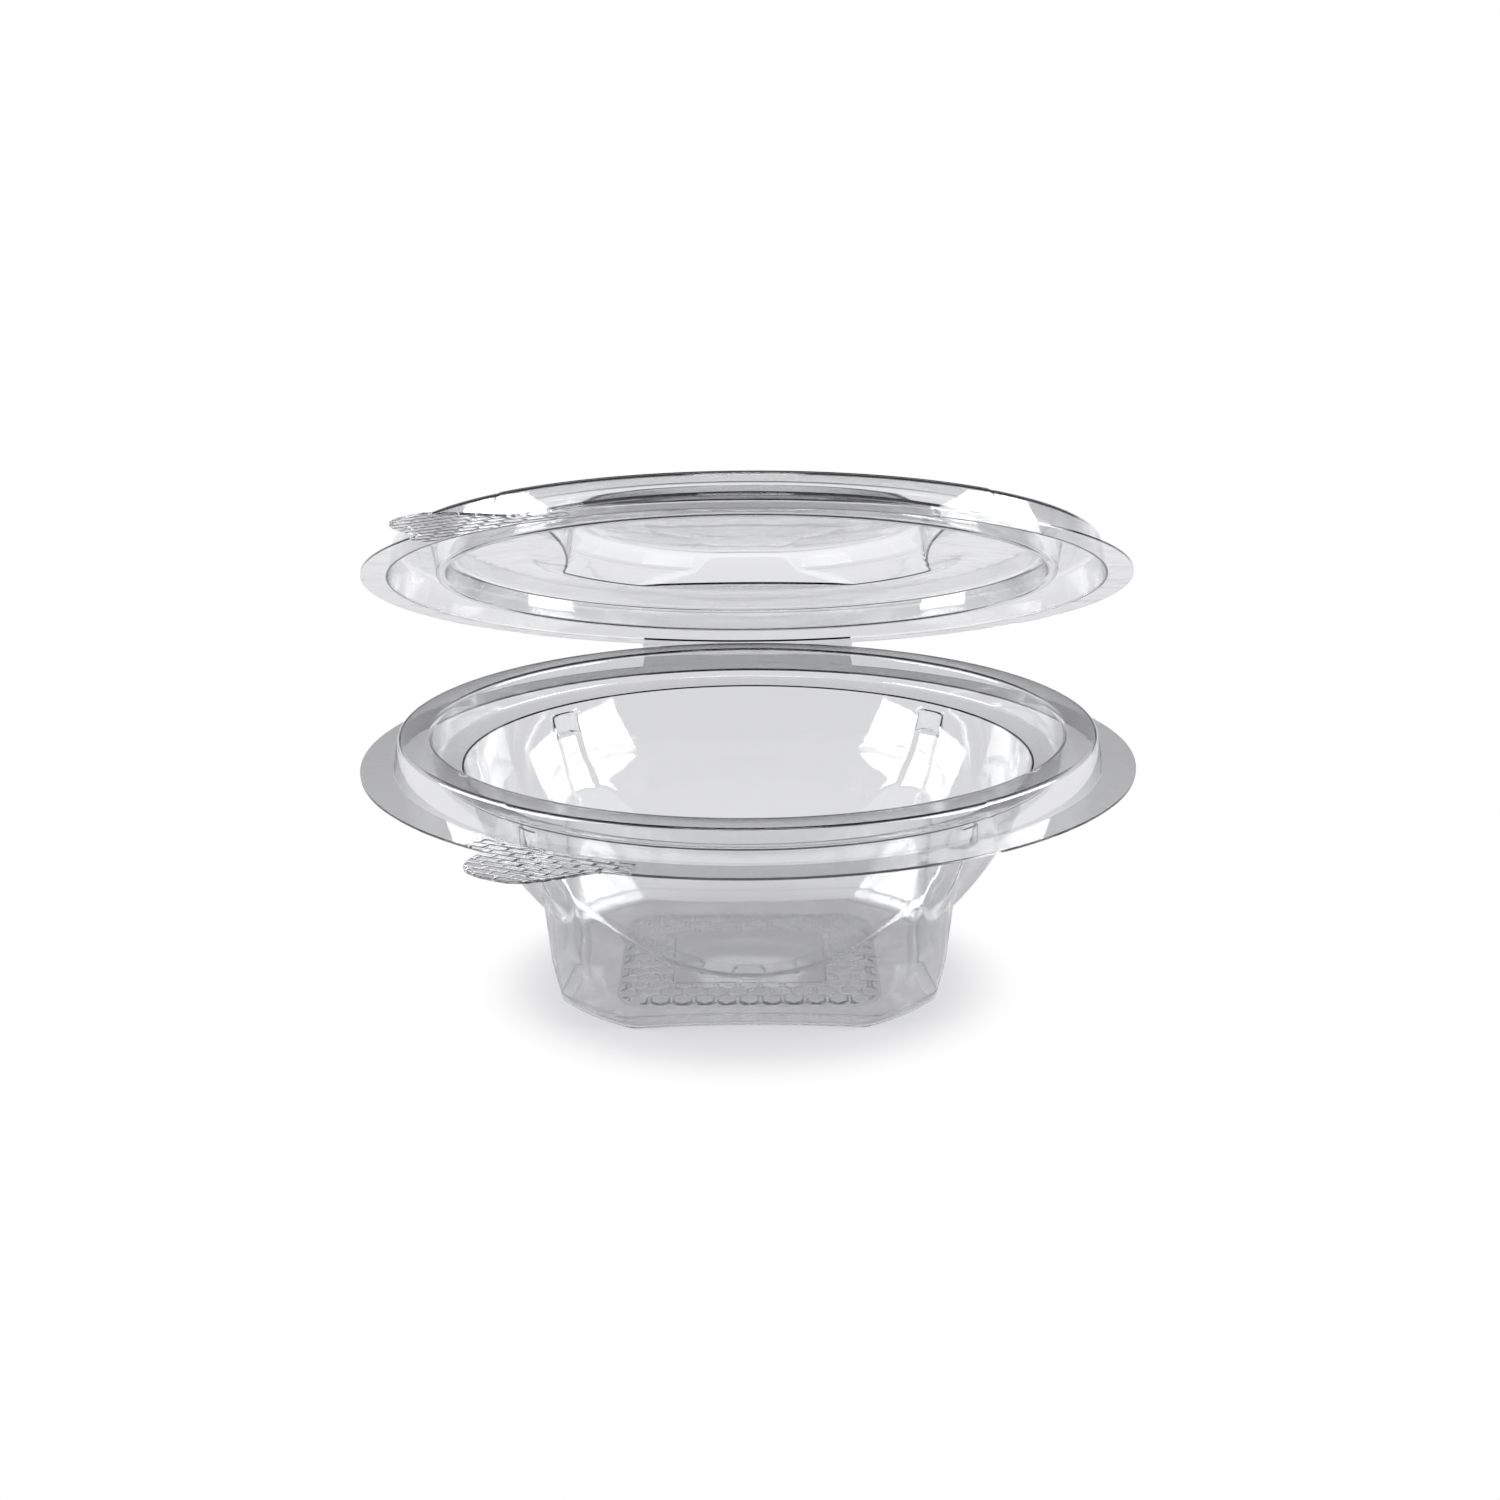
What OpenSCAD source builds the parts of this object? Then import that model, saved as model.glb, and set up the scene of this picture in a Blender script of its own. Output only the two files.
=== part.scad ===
// Clear round hinged container: a bowl and its lid formed from one sheet,
// joined at the back by a thin folding strip. The bowl is part of a sphere
// that stands on a square foot with hollowed sides. Origin: centre of the
// foot, on the surface it stands on. Front is -Y, the hinge is at +Y.

/* [Sheet] */
// Thickness of the formed sheet
wall = 0.4; // [0.3:0.05:0.6]
// Free gap between the bowl and the closed lid
seat_gap = 0.3; // [0.2:0.05:0.5]

/* [Rim] */
// Outer diameter of the flange of the bowl
rim_d = 130; // [124:1:150]
// Height of the top of the flange above the standing surface
rim_h = 37.6; // [36:0.1:40]
// Width of the flat flange outside the raised bead
flange_w = 5.4; // [4:0.1:8]
// Width of the raised bead across its base
bead_w = 7.2; // [5.5:0.1:7.6]
// Height of the raised bead above the flange
bead_h = 5.4; // [4.6:0.1:7]
// Inward lean of the outer side of the bead over its height
bead_lean_out = 1; // [0.4:0.1:1.4]
// Outward lean of the inner side of the bead over its height
bead_lean_in = 0.6; // [0.2:0.1:1]
// Radius of the rounded edges of the bead
bead_round = 0.8; // [0.6:0.1:1.2]
// Width of the sloping shelf inside the bead
shelf_w = 4.5; // [3:0.1:6]
// Fall of the sloping shelf inside the bead
shelf_fall = 0.7; // [0.4:0.1:1.2]
// Step of the bead, outward, where the lid snaps on
snap_step = 0.35; // [0.2:0.05:0.45]
// Left end of the snap part of the bead, degrees from the front
snap_left = 39; // [30:1:60]
// Right end of the snap part of the bead, degrees from the front
snap_right = 38; // [30:1:60]

/* [Bowl] */
// Height above the flange of the centre of the sphere that the wall follows
bowl_rise = 10.4; // [9.6:0.1:11]
// Width of the four narrow ribs that run up the wall from the corners
rib_w = 5.2; // [4:0.1:7]
// Extra width of a rib where it meets the foot
rib_flare = 1.8; // [0:0.1:3]
// Outward step of the ribs from the wall
rib_step = 0.5; // [0.3:0.1:0.9]
// Height of the small ledge pockets that hold nested bowls apart
lug_h = 4.3; // [3:0.1:6]
// Depth of the top of a ledge pocket below the flange
lug_drop = 1.9; // [1.5:0.1:3]
// Reach of a ledge pocket past the inner edge of the shelf
lug_reach = 0.5; // [0.2:0.1:1]

/* [Foot] */
// Half width of the foot at the standing surface
foot_half = 30.9; // [29:0.1:32]
// Outward slope of the sides of the foot, degrees
foot_draft = 7.1; // [5:0.1:9]
// How far the middle of each side is hollowed
foot_hollow = 1.3; // [0.8:0.1:2.4]
// Half length of the hollowed part of a side
foot_side = 18.5; // [16:0.5:22]
// Corner radius of the foot at the standing surface
corner_r = 6; // [4:0.5:8]
// Growth of the corner radius up to the top of the foot
corner_grow = 6.5; // [4:0.5:8]
// Height of the foot's corners up the bowl
foot_h = 26; // [25:0.5:27]
// Radius of the cone that trims the corners, at the standing surface
trim_r = 36.1; // [35:0.1:37]
// Slope of the trimming cone outward, degrees
trim_draft = 24.8; // [23:0.1:29]
// Half width of the raised floor panel
panel_half = 22.2; // [20:0.1:24]
// Height of the raised floor panel
panel_up = 0.4; // [0.3:0.1:1]
// Corner radius of the raised floor panel
panel_r = 6; // [3:0.5:8]

/* [Lid] */
// Half width of the raised square on the lid
top_half = 32.2; // [30:0.1:33]
// How far the middle of each side of the square is hollowed
top_hollow = 1.7; // [0.8:0.1:2.4]
// Inward slope of the sides of the raised square, degrees
top_draft = 10.8; // [5:0.1:14]
// Radius of the corners of the raised square, at the lid panel
top_corner_r = 37.6; // [36:0.1:38.2]
// Height of the lid panel's edge above the flange
panel_h = 4.8; // [4:0.1:5.4]
// Rise of the lid panel from its edge to the raised square
panel_rise = 1.4; // [0.5:0.1:2]
// Height of the sloping corners of the raised square
slope_h = 2.5; // [1.5:0.1:3]
// Height of the round crown above those corners
crown_h = 3; // [2:0.1:4]
// Radius of the crown at its foot
crown_r = 31.8; // [30.5:0.1:33]
// Lean of the crown's side over its height
crown_lean = 1.6; // [1:0.1:2.5]
// Width of the groove inside the lid's bead
groove_w = 1.6; // [1.2:0.1:2.2]
// Lean of the wall from the groove up to the lid panel
groove_lean = 0.9; // [0.5:0.1:1.5]
// Amount the lid's flange is narrower than the bowl's
lid_less = 0.6; // [0:0.1:1]

/* [Tabs and hinge] */
// Length of the grip tabs past the flange
tab_l = 9.3; // [6:0.1:12]
// Angle of the front end of the bowl's tab from the front
tab_from = 17.5; // [10:0.5:22]
// Angle spanned by each tab
tab_span = 19.5; // [16:0.5:24]
// Angle between the bowl's tab and the lid's tab
tab_shift = 12.5; // [6:0.5:16]
// Width of the folding strip
hinge_w = 41; // [30:0.5:50]
// Distance of the fold behind the flange
hinge_back = 7; // [5:0.5:9]
// Angle at which the lid stands open
lid_open = 22.5; // [0:0.1:90]

/* [Hidden] */
$fn = 96;

rim_r = rim_d / 2;
// bead of the bowl, on its upper skin
b_out0 = rim_r - flange_w;
b_out1 = b_out0 - bead_lean_out;
b_in0 = b_out0 - bead_w;
b_in1 = b_in0 + bead_lean_in;
b_top = rim_h + bead_h;
// shelf, and the sphere of the bowl through its inner edge
shelf_z0 = rim_h + 0.3;
shelf_z1 = shelf_z0 - shelf_fall;
shelf_r = b_in0 - shelf_w;
ball_z = rim_h + bowl_rise;
bowl_r = norm([shelf_r, shelf_z1 - ball_z]) + wall;
// the lid when it is shut, on its under skin
l_base = rim_h + seat_gap;
l_out0 = b_out0 + seat_gap;
l_out1 = b_out1 + seat_gap;
l_top = b_top + seat_gap;
l_in1 = b_in1 - seat_gap;
l_in0 = b_in0 - seat_gap - 0.1;
l_groove_z = shelf_z0 + seat_gap + wall;
l_groove_r = l_in0 - groove_w;
l_panel_r = l_groove_r - groove_lean;
l_panel_z = rim_h + panel_h;
l_flat_z = l_panel_z + panel_rise;
l_flat_r = top_corner_r + 1;
lid_r = rim_r - lid_less;
// overlap of a tab's ends with the flange
tab_root = 0.5;
// corner radius of the raised square, outside its trimmed corners
top_round = 3;
// fold line
fold_y = rim_r + hinge_back;
fold_z = rim_h + seat_gap / 2;
eps = 0.01;

// Direction across a path at point i, half way between its neighbours
function unit(v) = v / norm(v);
function across(p, i) = let (
    a = p[max(i - 1, 0)],
    b = p[min(i + 1, len(p) - 1)],
    t = unit(b - a)
) [-t[1], t[0]];

// Points of a corner at b rounded with radius r between points a and c
function rounded(a, b, c, r, n = 4) = let (
    u = unit(a - b),
    v = unit(c - b),
    half = acos(u * v) / 2,
    d = r / tan(half),
    m = b + unit(u + v) * r / sin(half),
    p0 = b + u * d - m,
    p1 = b + v * d - m,
    turn = 180 - 2 * half
) [for (k = [0:n]) m + (p0 * sin(turn * (1 - k / n)) + p1 * sin(turn * k / n)) / sin(turn)];

// A path with every inner corner rounded
function soft_path(p, r) = concat(
    [p[0]],
    [for (i = [1:len(p) - 2]) for (q = rounded(p[i - 1], p[i], p[i + 1], r[i])) q],
    [p[len(p) - 1]]
);

// Closed outline of a sheet of even thickness below a path that runs inward
module sheet_outline(p, t) {
    polygon(concat(p, [for (i = [len(p) - 1:-1:0]) p[i] + across(p, i) * t]));
}

// Upper skin of the bowl's rim, from the flange edge in to the shelf
function bowl_rim() = soft_path(
    [
        [rim_r, rim_h],
        [b_out0, rim_h],
        [b_out1, b_top],
        [b_in1, b_top],
        [b_in0, shelf_z0],
        [shelf_r, shelf_z1]
    ],
    [0, 0.5, bead_round, bead_round, 0.5, 0]
);

// Under skin of the lid's rim, from the flange edge in to the axis
function lid_rim() = soft_path(
    [
        [lid_r, l_base],
        [l_out0, l_base],
        [l_out1, l_top],
        [l_in1, l_top],
        [l_in0, l_groove_z],
        [l_groove_r, l_groove_z],
        [l_panel_r, l_panel_z],
        [l_flat_r, l_flat_z],
        [0, l_flat_z]
    ],
    [0, 0.5, bead_round, bead_round, 0.6, 0.6, 0.6, 2, 0]
);

// Angle that an arc of length l spans at radius r
function arc_deg(l, r) = l * 180 / (PI * r);

// Outer form of the part of a bead that steps outward, between its two ends.
// r0 and r1 outer radii of the plain bead below and above, z0 and z1 heights,
// more how far each end lies past the end of the bowl's step
module snap_out(r0, r1, z0, z1, more) {
    past = arc_deg(more, r0);
    rotate(-snap_left - 90 - past)
        rotate_extrude(angle = snap_left + snap_right + 2 * past)
            polygon([
                [r0 - wall, z0],
                [r0 + snap_step, z0],
                [r1 + snap_step, z1 - bead_round / 2],
                [r1 + snap_step - bead_round / 2, z1],
                [r1 - bead_round, z1]
            ]);
}

// What is hollow inside that stepped part
module snap_in(r0, r1, z0, z1, more) {
    past = arc_deg(more - wall, r0);
    rotate(-snap_left - 90 - past)
        rotate_extrude(angle = snap_left + snap_right + 2 * past)
            polygon([
                [r0 - wall - 0.1, z0 - 1],
                [r0 + snap_step - wall, z0 - 1],
                [r0 + snap_step - wall, z0],
                [r1 + snap_step - wall, z1 - wall - bead_round / 2],
                [r1 + snap_step - wall - bead_round / 2, z1 - wall],
                [r1 - wall - bead_round / 2, z1 - wall]
            ]);
}

// Reach of a tab at share s of its span: a long rise and a short blunt end.
// Both ends start a little inside the flange, so that the tab grows out of it
function tab_reach(s) = (tab_l + tab_root) * (
    s < 0.55 ? 0.5 - 0.5 * cos(180 * s / 0.55) : sqrt(max(0, 1 - pow((s - 0.55) / 0.45, 4)))
) - tab_root;

// Flat grip tab beside the flange of radius r, clockwise from angle a
module tab(r, a) {
    n = 26;
    linear_extrude(wall)
        polygon(concat(
            [for (k = [0:n]) let (
                s = k / n,
                g = 270 - a - tab_span * s,
                d = r + tab_reach(s)
            ) [d * cos(g), d * sin(g)]],
            [for (k = [n:-1:0]) let (g = 270 - a - tab_span * k / n)
                [(r - 3 * tab_root) * cos(g), (r - 3 * tab_root) * sin(g)]]
        ));
}

// Half of the folding strip, from the flange to the fold
module strip(r) {
    difference() {
        translate([-hinge_w / 2, r * 0.9, 0])
            cube([hinge_w, fold_y - seat_gap / 2 - r * 0.9, wall]);
        translate([0, 0, -eps])
            cylinder(h = wall + 2 * eps, r = r - 1);
    }
}

// Square with rounded corners that widens upward, sides hollowed by cylinders.
// h height, w half width below, draft its slope, r0 and r1 corner radii
module hollow_square(h, w, draft, r0, r1, hollow, side) {
    w1 = w + h * tan(draft);
    big = (side * side + hollow * hollow) / (2 * hollow);
    difference() {
        hull()
            for (x = [-1, 1], y = [-1, 1]) {
                translate([x * (w - r0), y * (w - r0), 0])
                    cylinder(h = eps, r = r0, $fn = 48);
                translate([x * (w1 - r1), y * (w1 - r1), h - eps])
                    cylinder(h = eps, r = r1, $fn = 48);
            }
        for (k = [0:3])
            rotate(90 * k)
                translate([0, -(w - hollow) - big, 0])
                    rotate([draft, 0, 0])
                        translate([0, 0, -h])
                            cylinder(h = 3 * h, r = big, $fn = 360);
    }
}

// Form of the bowl below the shelf; g is how far its skin is set inward
module bowl_form(g) {
    intersection() {
        translate([0, 0, ball_z])
            sphere(r = bowl_r - g, $fn = 180);
        translate([0, 0, panel_up + g])
            cylinder(h = shelf_z1 - panel_up - g, r = bowl_r);
    }
    foot_form(g);
    for (k = [0:3])
        rotate(45 + 90 * k)
            rib_form(g);
}

// Foot of the bowl, with its corners trimmed by a cone
module foot_form(g) {
    difference() {
        intersection() {
            translate([0, 0, g])
                hollow_square(foot_h - 2 * g, foot_half - g + g * tan(foot_draft), foot_draft,
                    corner_r - g, corner_r + corner_grow - g, foot_hollow, foot_side);
            cylinder(h = foot_h, r1 = trim_r - g * 1.1, r2 = trim_r - g * 1.1 + foot_h * tan(trim_draft), $fn = 180);
        }
        // raised floor panel, seen from below as a shallow recess
        translate([0, 0, g - 1])
            linear_extrude(1 + panel_up)
                floor_panel(g);
    }
}

// Outline of the raised floor panel
module floor_panel(g) {
    s = panel_half - panel_r;
    for (x = [-s, s], y = [-s, s])
        translate([x, y])
            circle(r = panel_r + g);
    square([2 * s, 2 * (panel_half + g)], center = true);
    square([2 * (panel_half + g), 2 * s], center = true);
}

// Rib up one corner of the wall, with the ledge pocket at its top
module rib_form(g) {
    z0 = foot_h - 8;
    z1 = rim_h - lug_drop - lug_h;
    z2 = rim_h - lug_drop;
    w0 = rib_w / 2 + rib_flare / 2 - g;
    w1 = rib_w / 2 - g;
    intersection() {
        translate([0, 0, ball_z])
            sphere(r = bowl_r + rib_step - g, $fn = 180);
        rotate([90, 0, 90])
            linear_extrude(bowl_r + 5)
                polygon([[-w0, z0], [w0, z0], [w1, z1 + 1], [-w1, z1 + 1]]);
    }
    intersection() {
        translate([0, 0, z1 + g])
            cylinder(h = lug_h - 2 * g, r = shelf_r + lug_reach + wall - g);
        translate([0, -w1, z1 + g])
            cube([bowl_r + 5, 2 * w1, lug_h - 2 * g]);
    }
}

// Form of the raised square of the lid; g is how far its skin is set outward
module top_form(g) {
    h = slope_h + crown_h;
    intersection() {
        translate([0, 0, l_flat_z])
            rotate_extrude($fn = 180)
                polygon([
                    [0, -eps],
                    [top_corner_r + g, -eps],
                    [top_corner_r + g, 0],
                    [crown_r + g, slope_h + g * 0.7],
                    [crown_r - crown_lean + g, h + g],
                    [0, h + g]
                ]);
        translate([0, 0, l_flat_z + h + 2 * g])
            mirror([0, 0, 1])
                hollow_square(h + 2 * g + eps, top_half - h * tan(top_draft) + g, top_draft,
                    top_round, top_round, top_hollow, foot_side);
    }
}

module bowl() {
    color("gainsboro") {
        difference() {
            union() {
                bowl_form(0);
                rotate_extrude()
                    sheet_outline(bowl_rim(), wall);
                snap_out(b_out0, b_out1, rim_h - wall, b_top, 0);
            }
            bowl_form(wall);
            translate([0, 0, shelf_z1 - wall])
                cylinder(h = bead_h + 2, r = shelf_r);
            snap_in(b_out0, b_out1, rim_h - wall, b_top, 0);
        }
        translate([0, 0, rim_h - wall]) {
            tab(rim_r, tab_from);
            strip(rim_r);
        }
    }
}

module lid_shut() {
    difference() {
        union() {
            rotate_extrude()
                sheet_outline(lid_rim(), -wall);
            top_form(wall);
            snap_out(l_out0 + wall, l_out1 + wall, l_base, l_top + wall, seat_gap + wall);
        }
        top_form(0);
        snap_in(l_out0 + wall, l_out1 + wall, l_base, l_top + wall, seat_gap + wall);
    }
    translate([0, 0, l_base]) {
        tab(lid_r, tab_from + tab_shift);
        strip(lid_r);
    }
}

module lid() {
    color("whitesmoke")
        translate([0, fold_y, fold_z])
            rotate([-lid_open, 0, 0])
                translate([0, -fold_y, -fold_z])
                    lid_shut();
}

bowl();
lid();
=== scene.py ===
# %% [markdown]
# # A clear round container with a hinged lid
#
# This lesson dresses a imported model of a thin, clear food container: a round
# bowl on a hollow-sided square foot, and a lid that is joined to it by a
# folding strip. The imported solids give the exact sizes. Here the sheet is
# made again with smooth rounded edges, gets its embossed patterns, and stands
# in a white studio.

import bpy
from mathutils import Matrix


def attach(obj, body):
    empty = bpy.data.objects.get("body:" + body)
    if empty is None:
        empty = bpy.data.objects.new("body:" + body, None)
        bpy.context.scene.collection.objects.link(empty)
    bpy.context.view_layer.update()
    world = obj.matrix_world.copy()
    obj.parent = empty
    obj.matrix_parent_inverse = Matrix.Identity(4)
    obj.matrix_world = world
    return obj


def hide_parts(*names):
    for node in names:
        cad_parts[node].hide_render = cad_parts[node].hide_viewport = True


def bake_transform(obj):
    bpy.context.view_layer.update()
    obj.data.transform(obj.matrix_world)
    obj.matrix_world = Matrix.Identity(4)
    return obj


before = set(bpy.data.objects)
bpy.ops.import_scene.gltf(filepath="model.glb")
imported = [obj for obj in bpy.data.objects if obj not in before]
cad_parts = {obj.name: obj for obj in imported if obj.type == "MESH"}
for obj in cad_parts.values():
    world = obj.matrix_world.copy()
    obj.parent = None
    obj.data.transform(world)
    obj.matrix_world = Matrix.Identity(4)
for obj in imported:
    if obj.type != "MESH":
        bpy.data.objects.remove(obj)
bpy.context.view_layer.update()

# %% [markdown]
# ## Tools and light bounces
#
# A ray that crosses both halves of the container passes through many skins,
# so the render needs more bounces than it would for solid things. Focused
# light, or caustics, would add noise and much time. It is switched off, and
# the material further down lets the light through in a cheaper way.

# %% The rest of the tools
import math

import bmesh
import bpy
from mathutils import Matrix, Vector

scene = bpy.context.scene
scene.view_settings.view_transform = "Standard"
scene.cycles.caustics_reflective = False
scene.cycles.caustics_refractive = False
scene.cycles.max_bounces = 10
scene.cycles.transmission_bounces = 10
scene.cycles.diffuse_bounces = 2
scene.cycles.transparent_max_bounces = 16
print("light may bounce", scene.cycles.max_bounces, "times")

# %% [markdown]
# ## The camera
#
# The photograph looks down on the rim by about sixteen degrees, from close to
# the front. A camera could be placed by eye, but here its distance and lens
# were solved from the ellipses of the rim and the bead, so the lens, the
# height and a very small roll are plain numbers. The frame is square.

# %% Camera at the photograph's angle
look_down = 0.2782
roll = -0.0059
eye = Vector((0, -0.3845, 0.1479))

camera_data = bpy.data.cameras.new("photo_camera")
camera_data.sensor_width = 36
camera_data.lens = 56.6
camera_data.shift_x = 0.00135
camera_data.clip_start = 0.01
camera = bpy.data.objects.new("photo_camera", camera_data)
scene.collection.objects.link(camera)
aim = Matrix.Rotation(math.pi / 2 - look_down, 4, "X") @ Matrix.Rotation(roll, 4, "Z")
camera.matrix_world = Matrix.Translation(eye) @ aim
scene.camera = camera
print("camera looks down by", round(math.degrees(look_down), 1), "degrees")

# %% [markdown]
# ## Sizes of the formed sheet
#
# A container like this is formed from one sheet about 0.4 mm thick, which is
# heated and drawn into a mould. All sizes below are in millimetres, and the
# finished meshes are scaled to metres at the end, because small parts are
# easier to read that way. They repeat the named sizes of the solid model.

# %% Sheet and rim
WALL = 0.4
RIM_R, RIM_Z = 65.0, 37.6
BEAD_OUT, BEAD_IN, BEAD_H = 59.6, 52.4, 5.4
SHELF_R, SHELF_Z = 47.9, 37.2
BALL_Z = RIM_Z + 10.4
BALL_R = math.hypot(SHELF_R, SHELF_Z - BALL_Z)
FOLD_Y, FOLD_Z = 72.0, 37.75
LID_OPEN = math.radians(22.5)
print("inner skin of the bowl follows a sphere of", round(BALL_R, 2), "mm")

# %% [markdown]
# ## Soft joins between simple forms
#
# The wall is a sphere that runs into a square foot, and the square has its
# corners cut by a cone. On a formed sheet such forms meet in a small round,
# never in a knife edge. Two radii can be blended by a *smooth maximum*: away
# from the join it is the larger one, and close to it the two melt together.
# That is simpler than bevelling a curve that wanders round the foot.

# %% Smooth minimum, maximum and step
def soft_max(a, b, k):
    near = max(k - abs(a - b), 0) / k
    return max(a, b) + near * near * k / 4


def soft_min(a, b, k):
    return -soft_max(-a, -b, k)


def step(x, low, high):
    t = min(max((x - low) / (high - low), 0), 1)
    return t * t * (3 - 2 * t)


print("two walls at 50 mm that melt over 0.4 mm meet at", soft_max(50, 50, 0.4), "mm")

# %% [markdown]
# ## The square with hollowed sides
#
# Seen from above, the foot is a square whose four sides bow inwards and whose
# corners are round. Its outline is needed as a radius for each direction,
# because the whole sheet is spun round one axis and then pushed to shape.
# For each direction three candidates are worked out: the flat side, the arc
# of the hollow and the round corner. The smallest one is the outline.

# %% Radius of a hollow-sided square in a direction
def square_radius(angle, half, corner, hollow, side):
    turn = math.pi / 2
    a = abs((angle + turn / 2) % turn - turn / 2)
    flat = half / math.cos(a)
    big = (side * side + hollow * hollow) / (2 * hollow)
    mid = half - hollow + big
    under = big * big - (mid * math.sin(a)) ** 2
    bowed = mid * math.cos(a) - math.sqrt(under) if under > 0 else flat
    if bowed * math.sin(a) > side:
        bowed = flat
    inner = half - corner
    reach = corner * corner - (inner * (math.cos(a) - math.sin(a))) ** 2
    if reach > 0:
        rounded = inner * (math.cos(a) + math.sin(a)) + math.sqrt(reach)
        if rounded * math.cos(a) > inner and rounded * math.sin(a) > inner:
            return min(rounded, bowed)
    return min(flat, bowed)


example = square_radius(math.pi / 4, 30, 6, 1, 18)
print("a 60 mm square with 6 mm corners reaches", round(example, 1), "mm at a corner")

# %% [markdown]
# ## Spinning a profile
#
# Both halves start as a profile of a few dozen points, which `bmesh.ops.spin`
# turns round the upright axis. The seam and the middle are then welded with
# `remove_doubles`. The result is a smooth grid of rings and spokes, and each
# ring can be pushed to a square, a rib or a tab without a single cut.

# %% Round a profile's corners, then spin it
SPOKES = 432
SEAM_GAP = 1e-4


def soft_path(points, radii, n=3):
    path = [Vector(points[0])]
    for a, b, c, r in zip(points, points[1:], points[2:], radii):
        a, b, c = Vector(a), Vector(b), Vector(c)
        u, v = (a - b).normalized(), (c - b).normalized()
        half = math.acos(max(-1, min(1, u.dot(v)))) / 2
        d = r / math.tan(half)
        middle = b + (u + v).normalized() * r / math.sin(half)
        p0, p1 = b + u * d - middle, b + v * d - middle
        turn = math.pi - 2 * half
        for k in range(n + 1):
            s = k / n
            arc = p0 * math.sin(turn * (1 - s)) + p1 * math.sin(turn * s)
            path.append(middle + arc / math.sin(turn))
    return path + [Vector(points[-1])]


def spin_profile(path):
    bm = bmesh.new()
    line = [bm.verts.new((r, 0, z)) for r, z in path]
    edges = [bm.edges.new(pair) for pair in zip(line, line[1:])]
    bmesh.ops.spin(bm, geom=line + edges, axis=(0, 0, 1), cent=(0, 0, 0), dvec=(0, 0, 0),
                   angle=2 * math.pi, steps=SPOKES, use_merge=True)
    bmesh.ops.remove_doubles(bm, verts=bm.verts, dist=SEAM_GAP)
    return bm


print("every ring has", SPOKES, "spokes")

# %% [markdown]
# ## Grip tabs
#
# Beside the front edge each half has a flat tab to lift it by. It swells out
# of the flange slowly at one end and stops with a blunt round end. The tab is
# not a new piece: the outer rings of the flange are stretched to its outline.
# The spokes are also drawn together at the blunt end, where the outline turns
# sharply, so that it stays round.

# %% Reach of a tab along its span
TAB_SPAN = math.radians(19.5)
TAB_LENGTH, TAB_SUNK = 9.8, 0.5
TAB_PEAK = 0.55
TAB_BUNCHING = 1.8
FRONT = 1.5 * math.pi


def tab_reach(s):
    if s < TAB_PEAK:
        swell = 0.5 - 0.5 * math.cos(math.pi * s / TAB_PEAK)
    else:
        swell = math.sqrt(max(0, 1 - ((s - TAB_PEAK) / (1 - TAB_PEAK)) ** 4))
    return TAB_LENGTH * swell - TAB_SUNK


def flange_point(angle, r, r_bead, r_edge, tab_from):
    share = (r - r_bead) / (r_edge - r_bead)
    a = (FRONT - angle) % (2 * math.pi) - tab_from
    s = a / TAB_SPAN
    if share <= 0 or not 0 < s < 1:
        return angle, r
    bunched = 1 - (1 - s) ** TAB_BUNCHING
    reach = max(tab_reach(bunched), 0)
    return angle - share * (bunched - s) * TAB_SPAN, r + share * reach


print("a tab stands out by", round(tab_reach(TAB_PEAK), 1), "mm")

# %% [markdown]
# ## The bowl
#
# The profile runs from the flange's edge over the raised bead, down a sloping
# shelf and the wall, round the edge of the foot and over the floor to the
# middle. The wall needs rings close together, because ribs, ledges and the
# foot are pushed into it. Rings sit in pairs at the top and bottom of the
# small ledges that hold nested bowls apart. Until it is pushed, every ring of
# the wall has one plain radius, `WALL_MARK`, by which it is recognised.

# %% Profile of the bowl
FOOT_ROUND = 0.5
WALL_MARK = 47.5
LEDGE_LOW, LEDGE_TOP = 31.8, 35.3
NOMINAL_FOOT, NOMINAL_PANEL = 34.0, 22.0
rim = soft_path(
    [(BEAD_OUT, RIM_Z), (BEAD_OUT - 1, RIM_Z + BEAD_H), (BEAD_IN + 0.6, RIM_Z + BEAD_H),
     (BEAD_IN, RIM_Z + 0.3), (SHELF_R, SHELF_Z)], [0.8, 0.8, 0.5], 4)
flange = [(RIM_R - (RIM_R - BEAD_OUT - 0.4) * k / 6, RIM_Z) for k in range(7)]
wall_z = [37.0, 36.4, 35.8, 35.5, LEDGE_TOP, 35.0]
wall_z += [35.0 - 0.72 * k for k in range(1, 4)] + [32.3, 32.0, LEDGE_LOW, 31.5, 31.2]
wall_z += [31.2 - 0.62 * k for k in range(1, 46)]
wall_z += [3.3 - 0.5 * k for k in range(1, 5)]
wall_z += [WALL + FOOT_ROUND * (1 - math.sin(math.pi / 2 * k / 4)) for k in range(5)]
floor_r = [NOMINAL_FOOT - 1.6 * k for k in range(1, 7)] + [NOMINAL_PANEL + 0.5]
floor_r += [NOMINAL_PANEL * (1 - k / 12) for k in range(13)]
profile = flange + rim + [(WALL_MARK, z) for z in wall_z] + [(r, WALL) for r in floor_r]
print("profile of the bowl:", len(profile), "points")

# %% [markdown]
# ## Pushing the wall to shape
#
# For a point of the wall, its height and direction give a radius. It is the
# larger of the sphere and the foot, and the foot is the smaller of the hollow
# square and the cone that trims its corners. Joining real solids would give
# the same form, but its edges would then need rounding one by one.

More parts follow.
